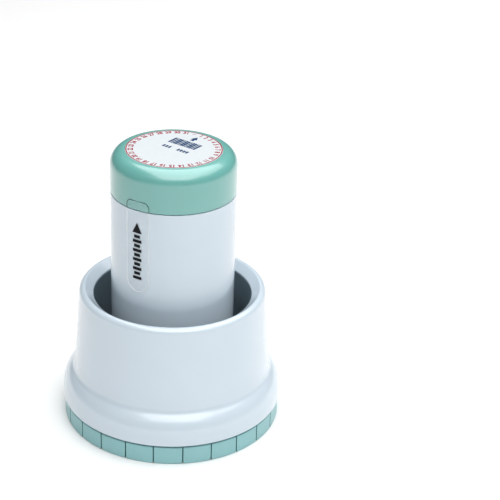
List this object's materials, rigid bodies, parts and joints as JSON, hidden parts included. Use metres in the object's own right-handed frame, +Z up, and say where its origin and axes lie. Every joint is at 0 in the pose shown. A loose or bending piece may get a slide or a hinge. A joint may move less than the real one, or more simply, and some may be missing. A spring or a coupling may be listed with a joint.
{
  "type": "rotary date stamp",
  "caption": "Round pre-inked date stamp: a capped cylindrical handle pressed down inside a bell-shaped base, with a turning ring at the foot that sets the day.",
  "frame": {"origin": "centre of the foot, on the paper plane, at the middle of the date ring's underside", "axes": "+Z up along the handle's axis; -Y is the side of the clear label; +Y is the way the index label's arrow points, to within a few degrees"},
  "size_m": [0.062, 0.062, 0.08],
  "materials": {
    "white_plastic": "smooth, semi-gloss",
    "slate_plastic": "fine matt texture",
    "green_plastic": "smooth, semi-gloss",
    "ring_plastic": "satin",
    "natural_plastic": "satin",
    "steel": "drawn and plated",
    "black_rubber": "matt",
    "red_rubber": "ink-soaked",
    "blue_rubber": "ink-soaked",
    "red_felt": "ink-soaked felt",
    "blue_felt": "ink-soaked felt",
    "label_paper": "printed, satin",
    "clear_film": "clear self-adhesive film"
  },
  "bodies": {
    "base": {"base_skirt": "white_plastic", "well_liner": "slate_plastic", "guide_bush": "natural_plastic", "bearing_ring": "natural_plastic", "return_spring": "steel"},
    "date_ring": {"date_ring": "ring_plastic", "ring_retainer": "steel", "friction_ring": "black_rubber"},
    "handle": {"handle_tube": "white_plastic", "stem": "natural_plastic", "stem_nut": "steel", "stem_washer": "steel", "spring_seat": "natural_plastic", "message_block": "natural_plastic", "block_screws": "steel", "message_ink_pad": "blue_felt", "message_die": "blue_rubber", "carrier_clip": "steel", "bumper_washer": "black_rubber", "ink_wick": "blue_felt", "ink_plug": "black_rubber", "cap_seal": "black_rubber", "side_label": "clear_film"},
    "day_carrier": {"day_carrier": "natural_plastic", "day_ink_pad": "red_felt", "day_die": "red_rubber"},
    "month_insert": {"month_insert": "blue_rubber"},
    "year_insert": {"year_insert": "blue_rubber"},
    "cap": {"cap": "green_plastic", "index_label": "label_paper", "label_tab": "clear_film"}
  },
  "joints": [
    {"name": "ring_turn", "type": "hinge", "parent": "base", "child": "date_ring", "pos_m": [0, 0, 0], "axis": [0, 0, 1], "continuous": true},
    {"name": "handle_press", "type": "slide", "parent": "base", "child": "handle", "axis": [0, 0, -1], "range_m": [0, 0.0055], "stiffness_N_per_m": 800, "springref_m": -0.004, "deforming": ["return_spring"]},
    {"name": "day_die_turn", "type": "hinge", "parent": "handle", "child": "day_carrier", "pos_m": [0, 0, 0.0085], "axis": [0, 0, 1], "continuous": true},
    {"name": "month_pull", "type": "slide", "parent": "handle", "child": "month_insert", "axis": [0, 0, -1], "range_m": [0, 0.0045]},
    {"name": "year_pull", "type": "slide", "parent": "handle", "child": "year_insert", "axis": [0, 0, -1], "range_m": [0, 0.0045]},
    {"name": "cap_lift", "type": "slide", "parent": "handle", "child": "cap", "axis": [0, 0, 1], "range_m": [0, 0.012]}
  ],
  "couplings": [
    {"joint": "day_die_turn", "follows": "ring_turn", "ratio": 1}
  ]
}
